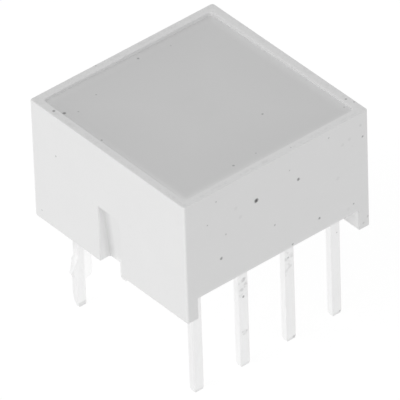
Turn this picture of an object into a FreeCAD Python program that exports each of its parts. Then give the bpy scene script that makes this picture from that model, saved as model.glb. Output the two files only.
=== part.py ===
# Square LED light bar display on eight through-hole leads, in millimetres
#
# A white moulded case holds a square reflector, four emitter chips on a stamped lead frame and
# the light-diffusing epoxy that is cast round them. The emitting window is the top face. The two
# end walls run down past the side walls as standoff feet, and one of them has a keyway notch that
# marks the end of lead 1.
#
# The origin is the centre of the plane of the lead tips, with +Z up to the window, X along the
# two rows of leads and Y across them. The notched end wall is at -X.
import FreeCAD, Part
import Sketcher
import os
from types import SimpleNamespace

SIZES = {
    # Case
    "CaseHeight": 6.1,  # from the feet to the rim
    "CornerRadius": 0.1,  # upright outer corners
    "EdgeRadius": 0.05,  # outer edge of the rim
    "EndWall": 0.6,  # the two walls that carry the feet
    "SideWall": 0.6,  # the two walls beside the leads
    "EndClearance": 0.34,  # from an end wall to the nearest leads
    "SideClearance": 0.45,  # from a side wall to its row of leads
    "FootHeight": 1.05,  # from the feet to the underside of the side walls
    # Keyway notch in the outer face of one end wall
    "NotchWidth": 1.4,
    "NotchHeight": 2.9,  # above the feet
    "NotchTopDepth": 0.26,
    "NotchFootDepth": 0.55,
    "NotchRadius": 0.1,  # the two inner corners
    "NotchBacking": 0.45,  # wall left round the notch
    # Window and reflector
    "RimWidth": 0.4,
    "WindowDepth": 0.5,  # straight part of the window's wall
    "WindowRadius": 0.25,
    "ReflectorDepth": 3.6,  # from the rim to the top of the lead frame
    "ReflectorWall": 2.0,  # case face to reflector opening, at the lead frame
    "ReflectorRadius": 0.6,
    "BackRadius": 0.3,  # corners of the space behind the reflector
    # Epoxy
    "MeniscusDrop": 0.03,  # edge of the epoxy below the rim
    "PoolDrop": 0.1,  # middle of the epoxy below the rim
    "MeniscusWidth": 0.7,
    "BackRecess": 0.1,  # back of the epoxy above the underside of the side walls
    # Leads
    "LeadPitch": 2.54,
    "RowSpacing": 7.62,
    "LeadWidth": 0.5,
    "LeadThickness": 0.28,
    "LeadLength": 4.8,  # below the feet
    "BendRadius": 0.2,  # inside of the bend
    "TipChamfer": 0.08,
    "LeadGap": 0.25,  # between an emitter pad and its neighbour lead
    "PadSize": 1.0,  # square emitter pad
    "PadRadius": 0.12,
    "StitchLength": 0.7,  # end of an arm that takes a wire
    "EmitterRowSpacing": 4.4,
    # What is left of the tie bar on the lead that was sheared off least cleanly
    "StubLevel": 1.45,  # above the lead tips
    "StubHeight": 1.35,
    "StubLength": 0.42,
    "StubRadius": 0.2,
    "BurrLevel": 1.8,  # above the lead tips
    "BurrHeight": 0.8,
    "BurrTipHeight": 0.36,  # from the burr's foot to its point
    "BurrLength": 0.18,
    # Emitter chips, their adhesive and their wires
    "ChipSize": 0.36,
    "ChipHeight": 0.2,
    "GlueTopWidth": 0.5,
    "GlueFootWidth": 0.62,
    "GlueThickness": 0.04,
    "WireRadius": 0.02,
    "BallRadius": 0.05,
    "BallHeight": 0.03,
    "LoopHeight": 0.3,  # top of the wire above the chip
    "StitchHeight": 0.1,  # end of the wire's slope above the lead
}

# Side of Y on which each row of leads lies
NEAR_SIDE, FAR_SIDE = -1, 1

# The leads of each row, in order along X: the first and the last of a row carry an emitter on a
# pad that points along the row, and their neighbours take its wire
ROWS = {
    NEAR_SIDE: ["lead_1", "lead_2", "lead_3", "lead_4"],
    FAR_SIDE: ["lead_8", "lead_7", "lead_6", "lead_5"],
}
EMITTERS = {"a": "lead_1", "b": "lead_4", "c": "lead_5", "d": "lead_8"}

# The lead that keeps a stub of its tie bar
STUB_LEAD = "lead_8"

TOLERANCE = 1e-6


class Size:
    """A length that knows its number and the sheet expression that drives it."""

    def __init__(self, number, text):
        self.number = number
        self.text = text

    @staticmethod
    def of(item):
        """Any number or length, as a length."""
        return item if isinstance(item, Size) else Size(float(item), repr(item))

    def __add__(self, other):
        other = Size.of(other)
        return Size(self.number + other.number, f"({self.text} + {other.text})")

    def __sub__(self, other):
        other = Size.of(other)
        return Size(self.number - other.number, f"({self.text} - {other.text})")

    def __mul__(self, factor):
        return Size(self.number * factor, f"({self.text} * {factor!r})")

    def __truediv__(self, divisor):
        return Size(self.number / divisor, f"({self.text} / {divisor!r})")

    def __neg__(self):
        return self * -1


doc = FreeCAD.newDocument("light_bar_display")
sheet = doc.addObject("Spreadsheet::Sheet", "Sizes")
for line, (alias, number) in enumerate(SIZES.items(), start=1):
    sheet.set(f"A{line}", alias)
    sheet.set(f"B{line}", str(number))
    sheet.setAlias(f"B{line}", alias)
doc.recompute()
size = SimpleNamespace(**{alias: Size(number, f"Sizes.{alias}") for alias, number in SIZES.items()})

# Levels above the lead tips, and places that several pieces share
tip_level = Size.of(0)
seat_level = size.LeadLength
rim_level = seat_level + size.CaseHeight
window_level = rim_level - size.WindowDepth
frame_level = rim_level - size.ReflectorDepth
side_wall_level = seat_level + size.FootHeight
epoxy_back_level = side_wall_level + size.BackRecess
epoxy_edge_level = rim_level - size.MeniscusDrop
chip_level = frame_level + size.GlueThickness
wire_level = chip_level + size.ChipHeight
middle = Size.of(0)
row_length = size.LeadPitch * (len(ROWS[NEAR_SIDE]) - 1) + size.LeadWidth
case_length = row_length + (size.EndClearance + size.EndWall) * 2
case_width = size.RowSpacing + size.LeadThickness + (size.SideClearance + size.SideWall) * 2
notched_face = -case_length / 2
half_width = size.LeadWidth / 2
half_thickness = size.LeadThickness / 2
pad_reach = size.LeadPitch - half_width - size.LeadGap
emitter_reach = pad_reach - size.PadSize / 2
emitter_inset = size.RowSpacing / 2 - size.EmitterRowSpacing / 2


# Sketches and features

def new_body(label):
    """Empty body with a name of its own."""
    body = doc.addObject("PartDesign::Body", label)
    body.Label = label
    return body


def new_sketch(body, name, role, level=None):
    """Empty sketch on an origin plane of its body, lifted along the plane's normal."""
    sketch = body.newObject("Sketcher::SketchObject", f"{body.Label}_{name}")
    plane = next(item for item in body.Origin.OriginFeatures if item.Role == role)
    sketch.AttachmentSupport = [(plane, "")]
    sketch.MapMode = "FlatFace"
    if level is not None:
        sketch.setExpression("AttachmentOffset.Base.z", level.text)
    return sketch


def hold(sketch, kind, ends, length):
    """Dimension of a sketch, tied to the sheet."""
    number = sketch.addConstraint(Sketcher.Constraint(kind, *ends, length.number))
    name = f"{kind}{number}"
    sketch.renameConstraint(number, name)
    sketch.setExpression(f"Constraints.{name}", length.text)


def hold_end(sketch, edge, end, axis, place):
    """Place of an edge's end on one axis, measured from the sketch's origin."""
    hold(sketch, f"Distance{axis}", (-1, 1, edge, end), place)


def draw_line(sketch, corners):
    """Edges of straight runs between corners, all but the first corner held on both axes."""
    points = [FreeCAD.Vector(x.number, y.number, 0) for x, y in corners]
    edges = []
    for start, stop, (x, y) in zip(points, points[1:], corners[1:]):
        edge = sketch.addGeometry(Part.LineSegment(start, stop), False)
        if edges:
            sketch.addConstraint(Sketcher.Constraint("Coincident", edges[-1], 2, edge, 1))
        hold_end(sketch, edge, 2, "X", x)
        hold_end(sketch, edge, 2, "Y", y)
        edges.append(edge)
    return edges


def draw_polygon(sketch, corners):
    """Closed outline through corners."""
    edges = draw_line(sketch, [corners[-1], *corners])
    sketch.addConstraint(Sketcher.Constraint("Coincident", edges[-1], 2, edges[0], 1))


def draw_steps(sketch, sides, radii):
    """Closed outline of upright and level sides that take turns, with rounded corners.

    A side is the axis that it crosses, "X" or "Y", and the place where it crosses it. A radius
    rounds the corner between its side and the next, and None leaves that corner sharp.
    """
    chain = [sides[-1], *sides, sides[0]]
    rounding = [radii[-1], *radii]

    def meeting(first, second):
        """Sharp corner where an upright and a level side meet."""
        places = dict((first, second))
        return FreeCAD.Vector(places["X"].number, places["Y"].number, 0)

    corners = [meeting(*pair) for pair in zip(chain, chain[1:])]
    cuts = [0 if radius is None else radius.number for radius in rounding]
    ways = [(stop - start).normalize() for start, stop in zip(corners, corners[1:])]
    edges = []
    for turn, (axis, place) in enumerate(sides):
        start = corners[turn] + ways[turn] * cuts[turn]
        stop = corners[turn + 1] - ways[turn] * cuts[turn + 1]
        edge = sketch.addGeometry(Part.LineSegment(start, stop), False)
        sketch.addConstraint(Sketcher.Constraint("Vertical" if axis == "X" else "Horizontal", edge))
        hold_end(sketch, edge, 1, axis, place)
        edges.append(edge)

    for turn in range(len(sides)):
        after = (turn + 1) % len(sides)
        radius = rounding[turn + 1]
        if radius is None:
            sketch.addConstraint(Sketcher.Constraint("Coincident", edges[turn], 2, edges[after], 1))
            continue
        way_in, way_out = ways[turn], ways[after]
        centre = corners[turn + 1] + (way_out - way_in) * radius.number
        circle = Part.Circle(centre, FreeCAD.Vector(0, 0, 1), radius.number)
        entry = circle.parameter(centre - way_out * radius.number)
        leave = circle.parameter(centre + way_in * radius.number)
        turns_left = way_in.cross(way_out).z > 0
        span = (entry, leave) if turns_left else (leave, entry)
        arc = sketch.addGeometry(Part.ArcOfCircle(circle, *span), False)
        entry_end, leave_end = (1, 2) if turns_left else (2, 1)
        sketch.addConstraint(Sketcher.Constraint("Tangent", edges[turn], 2, arc, entry_end))
        sketch.addConstraint(Sketcher.Constraint("Tangent", arc, leave_end, edges[after], 1))
        hold(sketch, "Radius", (arc,), radius)


def draw_rectangle(sketch, length, width, radius=None):
    """Rectangle about the sketch's origin, with rounded corners where a radius is given."""
    sides = [("Y", -width / 2), ("X", length / 2), ("Y", width / 2), ("X", -length / 2)]
    draw_steps(sketch, sides, [radius] * len(sides))


def draw_circle(sketch, radius):
    """Circle about the sketch's origin."""
    circle = Part.Circle(FreeCAD.Vector(), FreeCAD.Vector(0, 0, 1), radius.number)
    edge = sketch.addGeometry(circle, False)
    sketch.addConstraint(Sketcher.Constraint("Coincident", edge, 3, -1, 1))
    hold(sketch, "Radius", (edge,), radius)


def new_feature(kind, sketch):
    """Feature of a sketch, in the sketch's own body."""
    body = sketch.getParentGeoFeatureGroup()
    feature = body.newObject(f"PartDesign::{kind}", f"{sketch.Name}_{kind}")
    feature.Profile = sketch
    return feature


def pad(sketch, length, downwards=False, both_ways=False):
    """Solid that grows up from a sketch, down from it, or half each way."""
    feature = new_feature("Pad", sketch)
    feature.setExpression("Length", length.text)
    feature.Reversed = downwards
    feature.SideType = "Symmetric" if both_ways else "One side"
    return feature


def pocket(sketch, depth, upwards=False):
    """Hollow that is cut down from a sketch, or up from it."""
    feature = new_feature("Pocket", sketch)
    feature.setExpression("Length", depth.text)
    feature.Reversed = upwards
    return feature


def loft(kind, start, finish):
    """Straight-sided loft from one sketch of a body to another."""
    feature = new_feature(kind, start)
    feature.Sections = [finish]
    feature.Ruled = True
    return feature


def level_edges(feature, level):
    """A feature and its edges that lie at a level, as a fillet or a chamfer takes them."""
    def is_level(edge):
        """True for an edge with its lowest and highest points at the level."""
        heights = (edge.BoundBox.ZMin, edge.BoundBox.ZMax)
        return all(abs(height - level.number) < TOLERANCE for height in heights)

    doc.recompute()
    edges = enumerate(feature.Shape.Edges, start=1)
    return feature, [f"Edge{number}" for number, edge in edges if is_level(edge)]


def place(piece, x, y, z=None, turned=False):
    """Place of a piece, which is turned half round where that is asked for."""
    turn = FreeCAD.Rotation(FreeCAD.Vector(0, 0, 1), 180 if turned else 0)
    piece.Placement = FreeCAD.Placement(FreeCAD.Vector(), turn)
    piece.setExpression("Placement.Base.x", x.text)
    piece.setExpression("Placement.Base.y", y.text)
    if z is not None:
        piece.setExpression("Placement.Base.z", z.text)


# Outlines that the case and the epoxy share

def window_sketch(body, name, level):
    """Section of the window's straight wall."""
    sketch = new_sketch(body, name, "XY_Plane", level)
    length = case_length - size.RimWidth * 2
    width = case_width - size.RimWidth * 2
    draw_rectangle(sketch, length, width, size.WindowRadius)
    return sketch


def reflector_sketch(body):
    """Opening of the reflector at the top of the lead frame."""
    sketch = new_sketch(body, "reflector_opening", "XY_Plane", frame_level)
    length = case_length - size.ReflectorWall * 2
    width = case_width - size.ReflectorWall * 2
    draw_rectangle(sketch, length, width, size.ReflectorRadius)
    return sketch


def back_sketch(body, level):
    """Section of the space behind the reflector."""
    sketch = new_sketch(body, "back", "XY_Plane", level)
    length = case_length - size.EndWall * 2
    width = case_width - size.SideWall * 2
    draw_rectangle(sketch, length, width, size.BackRadius)
    return sketch


def notch_backing_sketch(body, level):
    """Block behind the notch, from the middle of the end wall inwards."""
    sketch = new_sketch(body, "notch_backing", "XY_Plane", level)
    reach = size.NotchWidth / 2 + size.NotchBacking
    inner = notched_face + size.NotchFootDepth + size.NotchBacking
    outer = notched_face + size.EndWall / 2
    draw_steps(sketch, [("Y", -reach), ("X", inner), ("Y", reach), ("X", outer)], [None] * 4)
    return sketch


def notch_sketch(body, name, level, depth):
    """Section of the notch, which reaches as far out of the wall as into it."""
    sketch = new_sketch(body, name, "XY_Plane", level)
    half = size.NotchWidth / 2
    sides = [("Y", -half), ("X", notched_face + depth), ("Y", half), ("X", notched_face - depth)]
    draw_steps(sketch, sides, [size.NotchRadius, size.NotchRadius, None, None])
    return sketch


# The pieces

def build_housing():
    """White case: rim, reflector, open back, standoff feet and keyway notch."""
    body = new_body("housing")
    block = new_sketch(body, "block", "XY_Plane", seat_level)
    draw_rectangle(block, case_length, case_width, size.CornerRadius)
    solid = pad(block, size.CaseHeight)
    rim_edge = body.newObject("PartDesign::Fillet", "rim_edge")
    rim_edge.Base = level_edges(solid, rim_level)
    rim_edge.setExpression("Radius", size.EdgeRadius.text)

    pocket(window_sketch(body, "window", rim_level), size.WindowDepth)
    loft("SubtractiveLoft", window_sketch(body, "reflector_top", window_level), reflector_sketch(body))
    pocket(back_sketch(body, seat_level), frame_level - seat_level, upwards=True)

    side_relief = new_sketch(body, "side_relief", "XY_Plane", seat_level)
    past_both_sides = case_width + size.SideWall * 2
    draw_rectangle(side_relief, case_length - size.EndWall * 2, past_both_sides)
    pocket(side_relief, size.FootHeight, upwards=True)

    pad(notch_backing_sketch(body, seat_level), frame_level - seat_level)
    notch_top = notch_sketch(body, "notch_top", seat_level + size.NotchHeight, size.NotchTopDepth)
    notch_foot = notch_sketch(body, "notch_foot", seat_level, size.NotchFootDepth)
    loft("SubtractiveLoft", notch_top, notch_foot)
    return body


def build_epoxy_blank():
    """Cast epoxy before the lead frame and the emitters are taken out of it."""
    body = new_body("epoxy_blank")
    pad(back_sketch(body, epoxy_back_level), frame_level - epoxy_back_level)
    loft("AdditiveLoft", window_sketch(body, "reflector_top", window_level), reflector_sketch(body))
    pad(window_sketch(body, "window", window_level), epoxy_edge_level - window_level)

    pool = new_sketch(body, "pool", "XY_Plane", rim_level - size.PoolDrop)
    length = case_length - (size.RimWidth + size.MeniscusWidth) * 2
    width = case_width - (size.RimWidth + size.MeniscusWidth) * 2
    draw_rectangle(pool, length, width, size.WindowRadius)
    loft("SubtractiveLoft", window_sketch(body, "meniscus", epoxy_edge_level), pool)
    pocket(notch_backing_sketch(body, epoxy_back_level), frame_level - epoxy_back_level, upwards=True)
    return body


def lead_place(name):
    """Middle of a lead's leg on X, its row's side, and the way along X that its pad points or 0."""
    side = next(side for side, row in ROWS.items() if name in row)
    row = ROWS[side]
    step = row.index(name)
    pad_way = {row[0]: 1, row[-1]: -1}.get(name, 0)
    return size.LeadPitch * (step - (len(row) - 1) / 2), side, pad_way


def build_lead(name):
    """One lead: leg, bend and arm from its side view, and the pad that its emitter needs.

    It is drawn for the near row, with its leg on the body's Z axis and its arm along +Y.
    """
    x, side, pad_way = lead_place(name)
    body = new_body(name)
    arm_end = emitter_inset + (size.PadSize if pad_way else size.StitchLength) / 2
    side_view = new_sketch(body, "side_view", "YZ_Plane")
    draw_steps(
        side_view,
        [
            ("X", -half_thickness),
            ("Y", frame_level),
            ("X", arm_end),
            ("Y", frame_level - size.LeadThickness),
            ("X", half_thickness),
            ("Y", tip_level),
        ],
        [size.BendRadius + size.LeadThickness, None, None, size.BendRadius, None, None],
    )
    strip = pad(side_view, size.LeadWidth, both_ways=True)
    tip = body.newObject("PartDesign::Chamfer", f"{name}_tip")
    tip.Base = level_edges(strip, tip_level)
    tip.setExpression("Size", size.TipChamfer.text)

    if pad_way:
        emitter_pad = new_sketch(body, "emitter_pad", "XY_Plane", frame_level)
        near_edge = emitter_inset - size.PadSize / 2
        far_edge = emitter_inset + size.PadSize / 2
        reach = pad_reach * (-side * pad_way)
        sides = [("Y", near_edge), ("X", reach), ("Y", far_edge), ("X", middle)]
        draw_steps(emitter_pad, sides, [size.PadRadius, size.PadRadius, None, None])
        pad(emitter_pad, size.LeadThickness, downwards=True)
    if name == STUB_LEAD:
        add_tie_bar_stub(body)
    place(body, x, size.RowSpacing / 2 * side, turned=side == FAR_SIDE)
    return body


def add_tie_bar_stub(body):
    """Rounded stub of the tie bar on one edge of a leg, and a sheared burr on the other edge."""
    stub = new_sketch(body, "stub", "XZ_Plane")
    sides = [
        ("Y", size.StubLevel),
        ("X", -(half_width + size.StubLength)),
        ("Y", size.StubLevel + size.StubHeight),
        ("X", middle),
    ]
    draw_steps(stub, sides, [size.StubRadius, size.StubRadius, None, None])
    pad(stub, size.LeadThickness, both_ways=True)

    burr = new_sketch(body, "burr", "XZ_Plane")
    corners = [
        (middle, size.BurrLevel),
        (half_width, size.BurrLevel),
        (half_width + size.BurrLength, size.BurrLevel + size.BurrTipHeight),
        (half_width, size.BurrLevel + size.BurrHeight),
        (middle, size.BurrLevel + size.BurrHeight),
    ]
    draw_polygon(burr, corners)
    pad(burr, size.LeadThickness, both_ways=True)


def emitter_place(letter):
    """Middle of an emitter, and the way along X from it to the lead that takes its wire."""
    x, side, pad_way = lead_place(EMITTERS[letter])
    return x + emitter_reach * pad_way, size.EmitterRowSpacing / 2 * side, pad_way


def build_chip(letter):
    """Emitter chip, a square block on its dot of adhesive."""
    chip = doc.addObject("Part::Box", f"led_die_{letter}")
    chip.Label = f"led_die_{letter}"
    chip.setExpression("Length", size.ChipSize.text)
    chip.setExpression("Width", size.ChipSize.text)
    chip.setExpression("Height", size.ChipHeight.text)
    x, y, _ = emitter_place(letter)
    place(chip, x - size.ChipSize / 2, y - size.ChipSize / 2, chip_level)
    return chip


def build_adhesive(letter):
    """Dab of adhesive that spreads out under a chip."""
    body = new_body(f"die_attach_{letter}")
    foot = new_sketch(body, "foot", "XY_Plane")
    draw_rectangle(foot, size.GlueFootWidth, size.GlueFootWidth)
    top = new_sketch(body, "top", "XY_Plane", size.GlueThickness)
    draw_rectangle(top, size.GlueTopWidth, size.GlueTopWidth)
    loft("AdditiveLoft", foot, top)
    x, y, _ = emitter_place(letter)
    place(body, x, y, frame_level)
    return body


def build_wire(letter):
    """Bond wire: a ball on the chip, a rise, and a slope down to the neighbour lead's arm."""
    body = new_body(f"bond_wire_{letter}")
    ball = new_sketch(body, "ball", "XY_Plane", wire_level)
    draw_circle(ball, size.BallRadius)
    pad(ball, size.BallHeight)

    path = new_sketch(body, "path", "XZ_Plane")
    span = size.LeadPitch - emitter_reach
    corners = [
        (middle, wire_level),
        (middle, wire_level + size.LoopHeight),
        (span, frame_level + size.StitchHeight),
        (span, frame_level),
    ]
    runs = draw_line(path, corners)
    hold_end(path, runs[0], 1, "X", middle)
    hold_end(path, runs[0], 1, "Y", wire_level)
    section = new_sketch(body, "section", "XY_Plane", wire_level)
    draw_circle(section, size.WireRadius)
    loop = new_feature("AdditivePipe", section)
    loop.Spine = (path, [f"Edge{run + 1}" for run in runs])
    loop.Transition = "Right corner"
    x, y, pad_way = emitter_place(letter)
    place(body, x, y, turned=pad_way < 0)
    return body


def build_encapsulant(embedded):
    """Epoxy with room for every piece that it is cast round."""
    tools = doc.addObject("Part::Compound", "embedded_pieces")
    tools.Links = embedded
    cast = doc.addObject("Part::Cut", "encapsulant")
    cast.Label = "encapsulant"
    cast.Base = build_epoxy_blank()
    cast.Tool = tools
    return cast


housing = build_housing()
leads = [build_lead(name) for row in ROWS.values() for name in row]
emitter_pieces = [
    build(letter) for build in (build_chip, build_adhesive, build_wire) for letter in EMITTERS
]
encapsulant = build_encapsulant(leads + emitter_pieces)
subparts = [housing, encapsulant, *leads, *emitter_pieces]
doc.recompute()

faults = [item.Name for item in doc.Objects if {"Invalid", "Error"} & set(item.State)]
faults += [item.Label for item in subparts if item.Shape.isNull() or not item.Shape.isValid()]
if faults:
    raise RuntimeError(f"these objects did not build: {', '.join(faults)}")

os.makedirs("parts", exist_ok=True)
for item in subparts:
    item.Shape.exportStep(f"parts/{item.Label}.step")
    print(f"{item.Label}: {len(item.Shape.Solids)} solid, {item.Shape.Volume:.4f} mm3")
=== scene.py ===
"""Looks of a square LED light bar display, dressed round its packed construction model.

The case, the epoxy and the leads are modelled again here, with their moulded edges, meniscus and
sheared tips. The pieces that are sealed in the epoxy keep their construction meshes and only get
a finish. Lengths are metres in the construction model's frame, and what a surface pattern uses is
millimetres in the same frame.
"""
from __future__ import annotations

import logging
import math
from collections.abc import Callable, Sequence
from dataclasses import dataclass, field
from enum import Enum
from typing import Any

import bmesh
import bpy
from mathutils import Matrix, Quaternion, Vector


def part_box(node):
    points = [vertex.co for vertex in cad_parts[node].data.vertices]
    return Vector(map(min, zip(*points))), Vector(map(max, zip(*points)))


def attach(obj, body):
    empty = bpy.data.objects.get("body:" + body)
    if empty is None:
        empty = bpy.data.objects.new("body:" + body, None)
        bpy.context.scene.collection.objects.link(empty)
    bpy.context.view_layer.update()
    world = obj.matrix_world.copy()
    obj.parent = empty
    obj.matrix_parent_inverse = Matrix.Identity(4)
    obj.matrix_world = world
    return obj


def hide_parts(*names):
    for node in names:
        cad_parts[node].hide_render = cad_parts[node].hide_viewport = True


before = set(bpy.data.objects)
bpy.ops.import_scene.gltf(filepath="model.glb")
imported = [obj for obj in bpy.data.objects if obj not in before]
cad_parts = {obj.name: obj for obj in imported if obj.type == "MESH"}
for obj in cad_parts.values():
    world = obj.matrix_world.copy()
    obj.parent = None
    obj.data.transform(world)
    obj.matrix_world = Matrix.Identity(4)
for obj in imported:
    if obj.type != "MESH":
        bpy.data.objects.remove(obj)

Span = tuple[float, float]
Triple = tuple[float, float, float]
Colour = tuple[float, float, float, float]

MM = 0.001
# Places that are nearer than this are one place.
TINY = 1e-6
# An edge whose faces turn by more than this is sharp.
SHARP = math.radians(35.0)
QUARTER_TURN = math.radians(90.0)
# Part of a face's normal that lies along an axis, from which on the face looks along it.
SQUARE_ON = 0.9
BODY = "root"

log = logging.getLogger("light_bar_display")


class Kind(Enum):
    """What an edit-mode selection is made of."""

    POINTS = "VERT"
    EDGES = "EDGE"
    FACES = "FACE"


class Joining(Enum):
    """What a second shape does to the first."""

    ADD = "UNION"
    CUT = "DIFFERENCE"


class Row(Enum):
    """A row of leads, by the side of Y on which it lies."""

    NEAR = -1
    FAR = 1


@dataclass(frozen=True)
class Ring:
    """A level rectangle of edges with rounded corners, one station of a lofted wall."""

    length: float
    width: float
    radius: float
    level: float
    centre: tuple[float, float] = (0.0, 0.0)


class Bench:
    """A new mesh that is shaped in edit mode, as by hand."""

    corner_steps: int = 6
    apart: float = 10.0 * MM

    def __init__(self, name: str) -> None:
        """Starts an empty mesh and opens it for shaping.

        Args:
            name: Name of the piece.
        """
        bpy.ops.object.select_all(action="DESELECT")
        bpy.ops.object.add(type="MESH")
        self.piece = bpy.context.object
        self.piece.name = name
        self.piece.data.name = name
        bpy.ops.object.mode_set(mode="EDIT")

    @classmethod
    def reopen(cls, piece: bpy.types.Object) -> Bench:
        """Opens a piece for more shaping.

        Args:
            piece: The piece.

        Returns:
            The bench with the piece on it.
        """
        select_only(piece)
        bench = cls.__new__(cls)
        bench.piece = piece
        bpy.ops.object.mode_set(mode="EDIT")
        return bench

    def mesh(self) -> bmesh.types.BMesh:
        """Reads the mesh as it is being edited.

        Returns:
            The mesh, with its points numbered.
        """
        mesh = bmesh.from_edit_mesh(self.piece.data)
        mesh.verts.index_update()
        return mesh

    def choose(self, kind: Kind, wanted: Callable[[Any], bool]) -> None:
        """Selects what is wanted, and nothing else.

        Args:
            kind: Points, edges or faces.
            wanted: True for what is to be selected.
        """
        bpy.ops.mesh.select_mode(type=kind.value)
        bpy.ops.mesh.select_all(action="DESELECT")
        mesh = self.mesh()
        stock = {Kind.POINTS: mesh.verts, Kind.EDGES: mesh.edges, Kind.FACES: mesh.faces}[kind]
        chosen = [item for item in stock if wanted(item)]
        if not chosen:
            raise ValueError(f"{self.piece.name}: nothing to select")
        for item in chosen:
            item.select_set(True)
        mesh.select_flush_mode()
        bmesh.update_edit_mesh(self.piece.data)

    def choose_top(self) -> None:
        """Selects the faces that look up."""
        self.choose(Kind.FACES, lambda face: face.normal.z > SQUARE_ON)

    def move(self, x: float = 0.0, y: float = 0.0, z: float = 0.0) -> None:
        """Moves what is selected."""
        bpy.ops.transform.translate(value=(x, y, z))

    def add_ring(self, ring: Ring) -> range:
        """Adds a ring of edges.

        Args:
            ring: The rectangle and its corners.

        Returns:
            The numbers of the ring's points.
        """
        first = len(self.mesh().verts)
        bpy.ops.mesh.select_mode(type=Kind.POINTS.value)
        centre = (*ring.centre, ring.level)
        bpy.ops.mesh.primitive_plane_add(size=1.0, location=centre)
        bpy.ops.transform.resize(value=(ring.length, ring.width, 1.0), center_override=centre)
        bpy.ops.mesh.bevel(offset=ring.radius, segments=self.corner_steps, affect="VERTICES")
        bpy.ops.mesh.delete(type="ONLY_FACE")
        return range(first, len(self.mesh().verts))

    def shift(self, points: range, rise: float) -> None:
        """Moves points up or down.

        Args:
            points: Their numbers.
            rise: How far.
        """
        self.choose(Kind.POINTS, lambda point: point.index in points)
        self.move(z=rise)

    def bridge(self, first: range, second: range) -> None:
        """Spans two rings with faces.

        Args:
            first: Points of one ring.
            second: Points of the other.
        """
        def is_open(edge: bmesh.types.BMEdge) -> bool:
            """True for an edge along either ring that can take a face."""
            along = any(all(end.index in ring for end in edge.verts) for ring in (first, second))
            return along and len(edge.link_faces) < 2

        self.choose(Kind.EDGES, is_open)
        bpy.ops.mesh.bridge_edge_loops()

    def loft(self, rings: Sequence[Ring], closed: bool = False) -> None:
        """Spans rings in turn. Each pair is spanned far apart and then moved together.

        Args:
            rings: The stations, in order.
            closed: Whether the last is spanned to the first, and not each closed by a face.
        """
        stations = [(ring.level, self.add_ring(ring)) for ring in rings]
        spans = list(zip(stations, stations[1:]))
        if closed:
            spans.append((stations[-1], stations[0]))
        for (first_level, first), (second_level, second) in spans:
            rise = math.copysign(self.apart, second_level - first_level)
            self.shift(second, rise)
            self.bridge(first, second)
            self.shift(second, -rise)
        if not closed:
            for _, station in (stations[0], stations[-1]):
                self.choose(Kind.POINTS, lambda point: point.index in station)
                bpy.ops.mesh.edge_face_add()

    def add_block(self, low: Vector, high: Vector) -> None:
        """Adds a block between two corners.

        Args:
            low: The corner with the lowest places.
            high: The corner with the highest places.
        """
        centre = (low + high) / 2
        bpy.ops.mesh.primitive_cube_add(size=1.0, location=centre)
        bpy.ops.transform.resize(value=high - low, center_override=centre)

    def extrude(self, x: float = 0.0, y: float = 0.0, z: float = 0.0) -> None:
        """Draws the selected faces out along a way.

        Args:
            x: Distance along X.
            y: Distance along Y.
            z: Distance along Z.
        """
        bpy.ops.mesh.extrude_region_move(TRANSFORM_OT_translate={"value": (x, y, z)})

    def squeeze(self, centre: Vector, x: float = 1.0, y: float = 1.0, z: float = 1.0) -> None:
        """Scales what is selected about a point.

        Args:
            centre: The point that stays.
            x: Factor along X.
            y: Factor along Y.
            z: Factor along Z.
        """
        bpy.ops.transform.resize(value=(x, y, z), center_override=centre)

    def slice(self, place: Vector, normal: Vector) -> None:
        """Cuts the selected faces along a plane, and keeps both sides.

        Args:
            place: A point of the plane.
            normal: The way that the plane faces.
        """
        bpy.ops.mesh.bisect(plane_co=place, plane_no=normal, threshold=TINY * MM)

    def trim_below(self, level: float) -> None:
        """Cuts off what lies below a level and closes the cut.

        Args:
            level: Height of the cut.
        """
        bpy.ops.mesh.select_all(action="SELECT")
        bpy.ops.mesh.bisect(
            plane_co=(0.0, 0.0, level), plane_no=(0.0, 0.0, 1.0), clear_inner=True, use_fill=True
        )

    def round_over(self, wanted: Callable[[Any], bool], radius: float, steps: int) -> None:
        """Rounds the sharp edges that are wanted.

        Args:
            wanted: True for a point that such an edge may end at.
            radius: Radius of the edges.
            steps: Faces across a rounded edge.
        """
        def is_sharp(edge: bmesh.types.BMEdge) -> bool:
            """True for an edge that two faces meet at, well off one plane."""
            return edge.is_manifold and edge.calc_face_angle() > SHARP

        self.choose(Kind.EDGES, lambda edge: is_sharp(edge) and all(map(wanted, edge.verts)))
        bpy.ops.mesh.bevel(offset=radius, segments=steps, affect="EDGES", clamp_overlap=False)

    def close(self) -> bpy.types.Object:
        """Merges what coincides, turns the faces outwards and leaves edit mode.

        Returns:
            The piece.
        """
        bpy.ops.mesh.select_mode(type=Kind.POINTS.value)
        bpy.ops.mesh.select_all(action="SELECT")
        bpy.ops.mesh.remove_doubles(threshold=TINY)
        bpy.ops.mesh.normals_make_consistent(inside=False)
        bpy.ops.object.mode_set(mode="OBJECT")
        return self.piece


def select_only(piece: bpy.types.Object) -> None:
    """Selects one piece and makes it the active one.

    Args:
        piece: The piece.
    """
    bpy.ops.object.select_all(action="DESELECT")
    piece.select_set(True)
    bpy.context.view_layer.objects.active = piece


def apply_modifier(piece: bpy.types.Object, kind: str, settings: dict[str, Any]) -> None:
    """Adds a modifier to a piece and applies it.

    Args:
        piece: The piece.
        kind: Type of the modifier.
        settings: Its settings.
    """
    select_only(piece)
    modifier = piece.modifiers.new(kind.lower(), kind)
    for name, setting in settings.items():
        setattr(modifier, name, setting)
    bpy.ops.object.modifier_apply(modifier=modifier.name)


def join_shapes(piece: bpy.types.Object, tool: bpy.types.Object, joining: Joining) -> None:
    """Adds a second shape to a piece or cuts it out, and removes the second shape.

    Args:
        piece: The piece.
        tool: The second shape.
        joining: Whether it is added or cut.
    """
    settings = {"object": tool, "operation": joining.value, "solver": "EXACT"}
    apply_modifier(piece, "BOOLEAN", settings)
    bpy.data.objects.remove(tool)


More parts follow.
